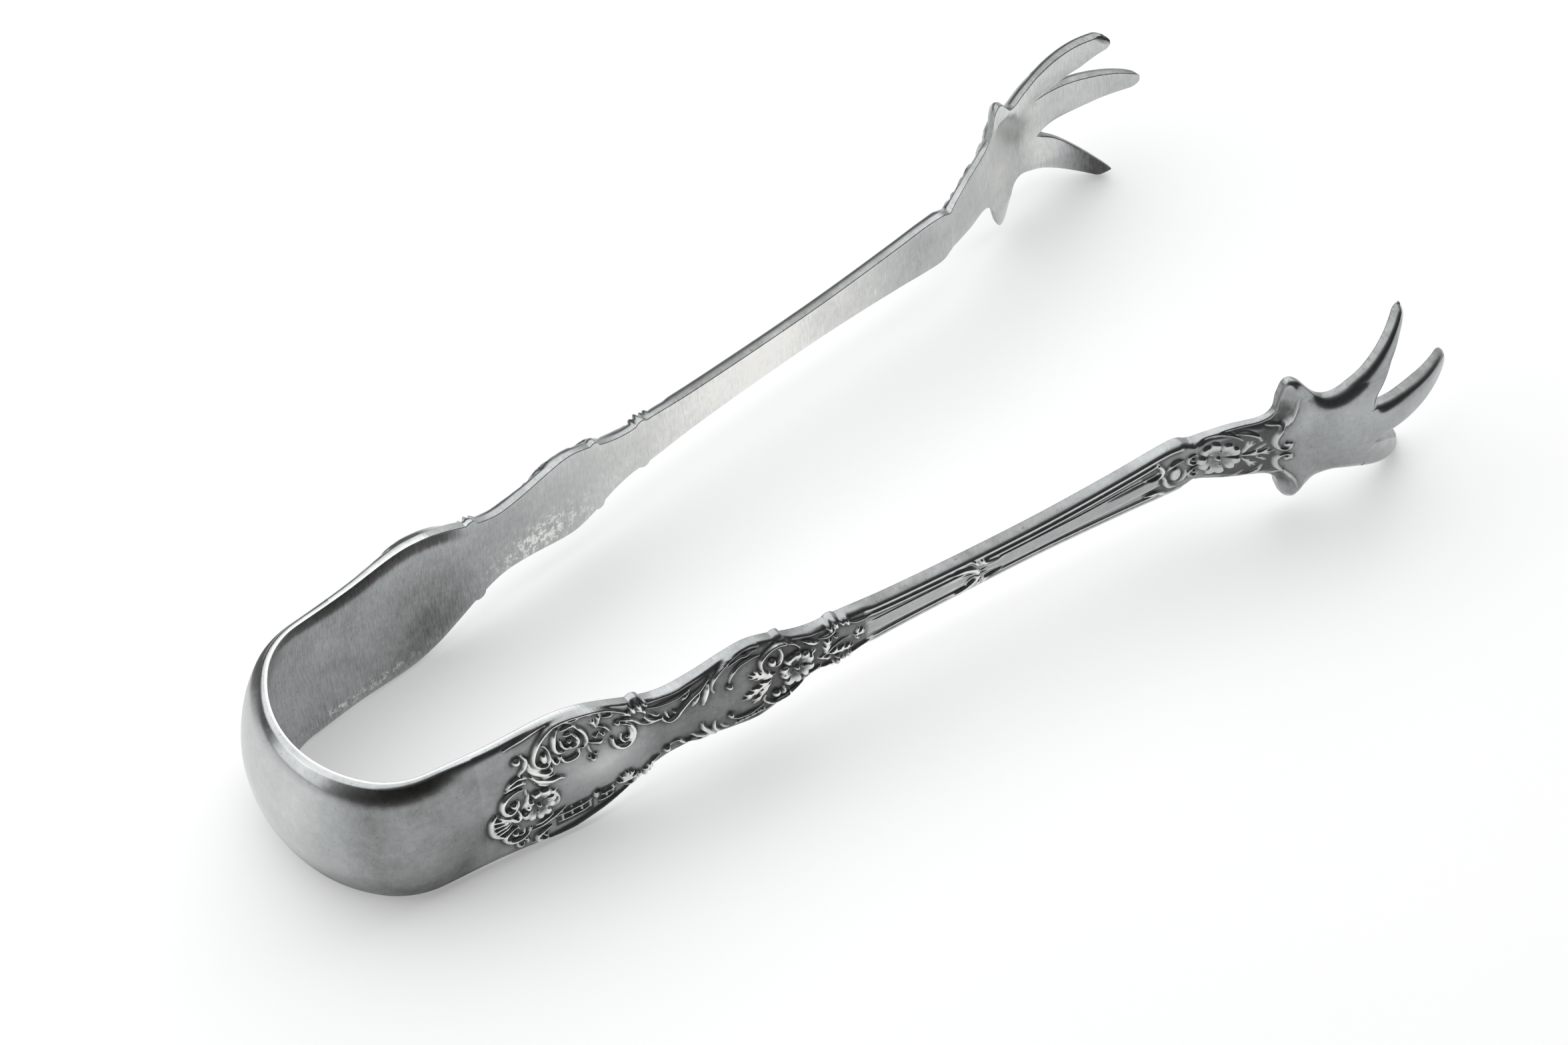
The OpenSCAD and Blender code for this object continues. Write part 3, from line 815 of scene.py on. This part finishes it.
def arm_faces(x, z, t, which, drop):
    """faces for ring_loft, from the cartouche to the forks of the palm."""
    h = half_width(x)
    d = edge_gap(x, z)
    outer = outer_depth(x, z, h)
    y = middle_y(x, side_share(z))
    if which == 0:
        lift, wear = stamped(x, z)
        off = outer - edge_roll(d, x) + lift * ease(d, 0.0, 0.35) - drop
        low = ease(-z, 2, 4) * ease(x, 40, 46)
        # painted highlight on the tips of the spurs
        wear = wear + 0.3 * ease(abs(z), 11.4, 12.6) * ease(x, 146, 148) * fall(x, 153, 155)
        top = ease(z, 6, 8) * ease(x, 26, 30) * fall(x, 43, 45)
        rim = (0.25 + 0.25 * np.maximum(low, top)) * fall(d, 0.0, 0.6)
        wear = wear + rim * ease(x, 18, 22) * (1 - 0.8 * ease(x, 76, 84))
    else:
        off = inner_depth(x, z, h, outer) + inner_roll(d, x) + drop
        wear = inner_wear(x, z)
    return np.stack([x, y + off, z], -1), wear


def strip_loft(x0, x1, step):
    x = seam_stations(x0, x1, step)
    return ring_loft(*edges(x, half_width(x)), even(COLS), even(BACK), arm_faces)


# ---- bow
def bow_line():
    """Points and outward directions of the middle line from the crown to the cartouche.

    The directions turn to straight across near the cartouche, to meet its stations.
    """
    rows = []
    for a in np.radians(np.concatenate([[0, 0.05], np.arange(1, 40.1, 1.0)])):
        rows.append((FRONT_C + CROWN_R * front(a), front(a)))
    for a in np.radians(np.linspace(41.5, 83.6, 28)):
        rows.append((CORNER_C + CORNER_R * front(a), front(a)))
    for x in seam_stations(ARM_X + 0.3, CARTOUCHE_X, 0.35)[2:]:
        k = ease(x, ARM_X, 17.5)
        rows.append((np.array([x, arm_y(x)]),
                     np.array([-math.sin(SPLAY) * (1 - k), math.cos(SPLAY) * (1 - k) + k])))
    return np.array([r[0] for r in rows]), np.array([r[1] for r in rows])


def bow_loft():
    """Half of the bow. Its rings count stations in place of X, because the line turns back."""
    line, out = bow_line()
    x_line = line[:, 0]
    h = half_width(np.clip(x_line, 0, None))

    def faces(k, z, t, which, drop):
        i = np.round(k).astype(int)
        x = x_line[i]
        hh = h[i]
        d = np.clip(hh - abs(z), 0, None)
        outer = outer_depth(x, z, hh)
        if which == 0:
            lift, wear = stamped(x, z)
            lift, wear = np.where(x > DIE_X, lift, 0), np.where(x > DIE_X, wear, plain_wear(x, z, d))
            off = outer - edge_roll(d, x) + lift * ease(d, 0, 0.25) - drop
            # painted reflection: a dark band just below the bow's top rim, strongest near X 8
            painted_reflection_band = np.interp(x, [-1, 3, 8, 13, 18], [0.3, 0.6, 1, 0.9, 0])
            wear = wear - 0.36 * painted_reflection_band * fall(d, 1.0, 3.2) * (z > 0)
            # lighter over the front of the crown, above its lower part, and slightly darker overall
            wear = wear + 0.33 * fall(x, -1, 7) * ease(z, -11, -2) - 0.03
            # painted shade: darker towards the bow's lower edge, where it faces the shadowed floor
            wear = wear - (0.14 * ease(-z, 2, 10) + 0.2 * ease(-z, 10, 12)) * fall(x, 15, 19.4)
        else:
            off = inner_depth(x, z, hh, outer) + inner_roll(d, x) + drop
            wear = inner_wear(x, z)
        p = line[i] + out[i] * off[..., None]
        return np.stack([p[..., 0], p[..., 1], z], -1), wear

    corner = np.interp(x_line, *OUTER_CORNER)
    return ring_loft(*edges(np.arange(float(len(line))), h), even(COLS), even(BACK), faces, corner, corner)


# ---- claws
SPLIT, SPLIT_BACK = (60, 160), (12, 32)  # columns at the two forks, outer and inner
TALON_RINGS, MIDDLE_RINGS = 60, 76
SPURS_END = 152
TALON_OUTER = smooth("160.3,10.1 163,11.7 166.4,13.7 169.7,15.4")
TALON_INNER = smooth("160.3,3.9 163.4,5.7 166.7,8.8 169.4,11.9 171.1,14.0")
MIDDLE_TALON = smooth("160.3,3.9 163.6,3.4 168,3.1 172.7,2.4 175.6,1.8 177.2,1.2 178,0.6")


def resample(p, n):
    """n points along a line, closer together towards its end."""
    s = np.concatenate([[0], np.cumsum(np.hypot(*np.diff(p, axis=0).T))])
    t = (1 - (1 - np.linspace(0, 1, n)) ** 1.5) * s[-1]
    return np.stack([np.interp(t, s, p[:, 0]), np.interp(t, s, p[:, 1])], -1)


def fork_places(count, split, share):
    """Places across the palm where the middle talon's columns take up the given share."""
    ends = [0, 0.5 - share / 2, 0.5 + share / 2, 1]
    return np.interp(np.arange(count + 1), [0, split[0], split[1], count], ends)


def claw_lofts():
    """Palm with its spurs, then the upper, middle and lower talon."""
    edge = float(np.interp(VALLEY_X, SIDE[:, 0], SIDE[:, 1]))
    share = VALLEY_Z / (edge - np.interp(VALLEY_X, *OUTER_CORNER))
    share_back = VALLEY_Z / (edge - INNER_CORNER)
    x = np.concatenate([seam_stations(BEND_X, SPURS_END, 0.12)[:-2],
                        np.arange(SPURS_END, VALLEY_X, 0.28), [VALLEY_X]])
    k = ease(x, 150, VALLEY_X)[:, None]
    cols = even(COLS)[None] * (1 - k) + fork_places(COLS, SPLIT, share)[None] * k
    back = even(BACK)[None] * (1 - k) + fork_places(BACK, SPLIT_BACK, share_back)[None] * k
    palm = ring_loft_columns(*edges(x, half_width(x)), cols, back, arm_faces)
    inner = resample(TALON_INNER, TALON_RINGS)
    outer = resample(np.vstack([[VALLEY_X, edge], TALON_OUTER[1:]]), TALON_RINGS)
    middle = resample(MIDDLE_TALON, MIDDLE_RINGS)
    flip = [1, -1]
    return [palm,
            talon_loft(inner, outer, COLS - SPLIT[1], BACK - SPLIT_BACK[1], 1.0, (0, 1)),
            talon_loft(middle * flip, middle, SPLIT[1] - SPLIT[0], SPLIT_BACK[1] - SPLIT_BACK[0],
                       0.0, (0, 0)),
            talon_loft(outer * flip, inner * flip, SPLIT[0], SPLIT_BACK[0], 1.0, (1, 0))]


def ring_loft_columns(lo, hi, cols, back, faces):
    """ring_loft with its own columns at each station."""
    rows = [ring_loft(lo[i:i + 1], hi[i:i + 1], cols[i], back[i], faces) for i in range(len(lo))]
    return tuple(np.concatenate([r[k] for r in rows], 0) for k in range(3))


def dome(u, least):
    """Quarter circle from least at 0 to 1 at 1."""
    return least + (1 - least) * np.sqrt(unit(1 - (1 - unit(u)) ** 2))


def talon_loft(lo, hi, cols, back, side_goal, full):
    """Talon between its two edge lines.

    side_goal is the side of middle_y that it reaches. full says which edges already have
    their rounded corner at its root.
    """
    middle = (lo + hi) / 2
    reach = np.linalg.norm(middle - (lo[0] + hi[0]) / 2, axis=1)
    grow = ease(reach, 0, 2.5)
    to_end = reach[-1] - reach
    rounded = dome(to_end / 0.8, 0.42)[:, None]
    lo, hi = middle + (lo - middle) * rounded, middle + (hi - middle) * rounded
    thin = dome(to_end / 1.6, 0.25)[:, None]
    corners = [np.interp(edge[:, 0], *OUTER_CORNER) * (1 if f else grow)
               for edge, f in zip((lo, hi), full)]
    span = np.linalg.norm(hi - lo, axis=1)[:, None]

    def faces(x, z, t, which, drop):
        side = side_share(z)
        side = side + (side_goal - side) * ease(reach, 0, 5)[:, None]
        y = middle_y(x, side)
        outer = outer_depth(x, z, half_width(x))
        d_lo, d_hi = t * span, (1 - t) * span
        k_lo, k_hi = (1.0 if f else grow[:, None] for f in full)
        roll = np.maximum(edge_roll(d_lo, x) * k_lo, edge_roll(d_hi, x) * k_hi)
        tip = 0.5 * unit(1 - to_end[:, None] / 0.9) ** 2
        if which == 0:
            off = outer - roll - tip - drop
            wear = 0.5 + 0.3 * ease(-to_end[:, None], -2.0, -0.6) + 0 * x
        else:
            inner = np.maximum(inner_roll(d_lo, x) * k_lo, inner_roll(d_hi, x) * k_hi)
            deep = inner_depth(x, z, half_width(x), outer)
            off = outer - tip - (outer - deep) * thin + inner * thin + drop
            wear = inner_wear(x, z)
        return np.stack([x, y + off, z], -1), wear

    return ring_loft(lo, hi, even(cols), even(back), faces, *corners)


# ---- materials
def tree(name):
    """A new material, its nodes and links, its shader, and the object's coordinates."""
    m = bpy.data.materials.new(name)
    m.use_nodes = True
    nodes, links = m.node_tree.nodes, m.node_tree.links
    nodes.clear()
    out = nodes.new("ShaderNodeOutputMaterial")
    bsdf = nodes.new("ShaderNodeBsdfPrincipled")
    links.new(bsdf.outputs[0], out.inputs[0])
    return m, nodes, links, bsdf, nodes.new("ShaderNodeTexCoord").outputs["Object"]


def ramp(nodes, stops):
    """Colour ramp through (position, colour) stops."""
    r = nodes.new("ShaderNodeValToRGB")
    for e, (at, colour) in zip(r.color_ramp.elements, (stops[0], stops[-1])):
        e.position, e.color = at, (*colour, 1)
    for at, colour in stops[1:-1]:
        e = r.color_ramp.elements.new(at)
        e.color = (*colour, 1)
    return r


def noise(nodes, links, coords, scale, detail, rough=0.55, stretch=None):
    n = nodes.new("ShaderNodeTexNoise")
    n.inputs["Scale"].default_value = scale
    n.inputs["Detail"].default_value = detail
    n.inputs["Roughness"].default_value = rough
    if stretch:
        mapping = nodes.new("ShaderNodeMapping")
        mapping.inputs["Scale"].default_value = stretch
        links.new(coords, mapping.inputs["Vector"])
        coords = mapping.outputs["Vector"]
    links.new(coords, n.inputs["Vector"])
    return n.outputs["Fac"]


def maths(nodes, links, op, a, b):
    n = nodes.new("ShaderNodeMath")
    n.operation = op
    for socket, v in zip(n.inputs, (a, b)):
        if isinstance(v, (int, float)):
            socket.default_value = v
        else:
            links.new(v, socket)
    return n.outputs[0]


def silver_material():
    """Tarnished plate: the worn brightness with its painted light and shade, and five noises, make one tone,
    which sets colour and roughness.
    """
    m, nodes, links, bsdf, coords = tree("silver_plate")
    bsdf.inputs["Metallic"].default_value = 1.0

    def attribute(name):
        n = nodes.new("ShaderNodeAttribute")
        n.attribute_name = name
        return n.outputs["Fac"]

    def do(op, a, b):
        return maths(nodes, links, op, a, b)

    def swing(noise_out, amount):
        """Noise moved to lie around 0."""
        return do("MULTIPLY", do("SUBTRACT", noise_out, 0.5), amount)

    # the per-point brightness holds real wear together with painted light and shade
    wear, inside = attribute("wear"), attribute("inside")
    cloud = noise(nodes, links, coords, 110, 4)
    mottle = noise(nodes, links, coords, 900, 5, 0.65)
    speck = noise(nodes, links, coords, 3200, 3, 0.6)
    brush = noise(nodes, links, coords, 500, 3, 0.6, (12, 1, 1))
    tone = do("ADD", wear, swing(cloud, 0.28))
    tone = do("ADD", tone, swing(mottle, 0.16))
    # cross lines, stronger on the inner face
    tone = do("ADD", tone, swing(brush, do("ADD", do("MULTIPLY", inside, 0.24), 0.06)))
    tone = do("SUBTRACT", tone, do("MULTIPLY", do("LESS_THAN", speck, 0.335), 0.12))
    # bright flecks where the tarnish has flaked off, which inside marks by going over 1
    flaked = do("MAXIMUM", do("SUBTRACT", inside, 1.0), 0.0)
    grit = noise(nodes, links, coords, 1900, 5, 0.72)
    patchy = do("ADD", do("MULTIPLY", grit, 0.45), do("MULTIPLY", mottle, 0.55))
    flecks = do("GREATER_THAN", do("ADD", patchy, do("MULTIPLY", flaked, 0.05)), 0.56)
    tone = do("ADD", tone, do("MULTIPLY", flecks, do("MULTIPLY", flaked, 0.3)))
    colour = ramp(nodes, [(0, (.028, .026, .024)), (.25, (.12, .12, .118)), (.5, (.375, .39, .392)),
                          (.75, (.6, .61, .6)), (1, (.93, .92, .89))])
    links.new(tone, colour.inputs[0])
    links.new(colour.outputs[0], bsdf.inputs["Base Color"])
    rough = ramp(nodes, [(0, (.6,) * 3), (.3, (.38,) * 3), (.5, (.24,) * 3), (1, (.18,) * 3)])
    links.new(tone, rough.inputs[0])
    links.new(do("ADD", rough.outputs[0], swing(mottle, 0.12)), bsdf.inputs["Roughness"])
    bump = nodes.new("ShaderNodeBump")
    bump.inputs["Strength"].default_value = 0.25
    bump.inputs["Distance"].default_value = 0.00004
    height = do("ADD", do("MULTIPLY", speck, 0.6), do("MULTIPLY", brush, inside))
    links.new(height, bump.inputs["Height"])
    links.new(bump.outputs[0], bsdf.inputs["Normal"])
    return m


def floor_material():
    m, nodes, links, bsdf, coords = tree("pale_floor")
    cloud = noise(nodes, links, coords, 6, 3)
    colour = ramp(nodes, [(.3, (.625, .63, .63)), (.7, (.645, .645, .645))])
    links.new(cloud, colour.inputs[0])
    links.new(colour.outputs[0], bsdf.inputs["Base Color"])
    bsdf.inputs["Emission Color"].default_value = (1, 1, 1, 1)
    bsdf.inputs["Emission Strength"].default_value = 0.32
    bsdf.inputs["Roughness"].default_value = 0.6
    bsdf.inputs["Specular IOR Level"].default_value = 0.2
    return m


# ---- the pieces
SILVER = silver_material()


def build_side(name, mirror):
    """One arm and its half of the bow."""
    arm = name + "_arm"
    bow = make_piece(name + "_bow_half", [bow_loft()], None, mirror)
    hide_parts("bow_crown")
    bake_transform(bow)
    cartouche = make_piece(name + "_cartouche", [strip_loft(CARTOUCHE_X, PANEL_X, 0.11)], arm, mirror)
    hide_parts(name + "_handle")
    panel = make_piece(name + "_panel", [strip_loft(PANEL_X, SHANK_X, 0.12)], arm, mirror)
    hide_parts(name + "_handle")
    shank = make_piece(name + "_shank_piece", [strip_loft(SHANK_X, BEND_X, 0.17)], arm, mirror)
    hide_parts(name + "_shank")
    claw = make_piece(name + "_claw_piece", claw_lofts(), arm, mirror, weld=True)
    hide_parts(name + "_claw")


build_side("far", False)
build_side("near", True)


# ---- floor, light, camera
FLOOR_HALF, FLOOR_Z = 1.6, -0.0001  # metres; just under the part, so they don't share a plane
LIGHTS = (("overhead", (0.2, 1.2, 1.5), (4.0, 3.2), 76, (0.2, 1.2, 0)),
          ("left_panel", (-1.6, 0.5, 0.7), (1.4, 1.2), 9, (0, 0, 0)),
          ("right_panel", (2.3, 1.2, 0.75), (2.4, 1.3), 9, (0, 0, 0)))  # place, size, power, aim
# The photograph's camera in the upright frame, from a fit to the arms
CAMERA_TURN = tuple(math.radians(a) for a in (-33.007, 50.222, -4.136))  # azimuth, elevation, roll
CAMERA_AIM, CAMERA_AWAY = np.array([83.472, -2.139, 0.0]), 865.35
SENSOR, FOCAL, IMAGE_WIDE = 36.0, 9055.84, 2352  # millimetres, and two in pixels


def add_floor():
    mesh = bpy.data.meshes.new("floor")
    r, z = FLOOR_HALF, FLOOR_Z
    mesh.from_pydata([(-r, -r, z), (r, -r, z), (r, r, z), (-r, r, z)], [], [(0, 1, 2, 3)])
    mesh.materials.append(floor_material())
    floor = bpy.data.objects.new("floor", mesh)
    link(floor)


def add_light(name, at, size, power, toward):
    data = bpy.data.lights.new(name, "AREA")
    data.shape = "RECTANGLE"
    data.size, data.size_y = size
    data.energy = power
    light = bpy.data.objects.new(name, data)
    light.location = at
    light.rotation_mode = "QUATERNION"
    light.rotation_quaternion = (Vector(toward) - Vector(at)).to_track_quat("-Z", "Y")
    link(light)


def add_world():
    world = bpy.data.worlds.new("studio")
    world.use_nodes = True
    colour, strength = world.node_tree.nodes["Background"].inputs[:2]
    colour.default_value, strength.default_value = (0.9, 0.95, 1.0, 1), 0.05
    bpy.context.scene.world = world


def add_camera():
    azimuth, elevation, roll = CAMERA_TURN
    level = math.cos(elevation)
    back = Vector((math.sin(azimuth) * level, -math.cos(azimuth) * level, math.sin(elevation)))
    right0 = (-back).cross(Vector((0, 0, 1))).normalized()
    up0 = right0.cross(-back)
    right = math.cos(roll) * right0 + math.sin(roll) * up0
    up = -math.sin(roll) * right0 + math.cos(roll) * up0
    place = CAMERA_AIM + np.array(back) * CAMERA_AWAY
    axes = [turn_to_row(v) for v in (right, up, back)]
    data = bpy.data.cameras.new("camera")
    data.sensor_width, data.lens = SENSOR, FOCAL / IMAGE_WIDE * SENSOR
    data.clip_start, data.clip_end = 0.05, 10
    camera = bpy.data.objects.new("camera", data)
    camera.matrix_world = Matrix([[*row] for row in zip(*axes, to_row(place))] + [[0, 0, 0, 1]])
    link(camera)
    bpy.context.scene.camera = camera


add_floor()
add_world()
for light in LIGHTS:
    add_light(*light)
add_camera()
bpy.context.scene.view_settings.view_transform = "Standard"
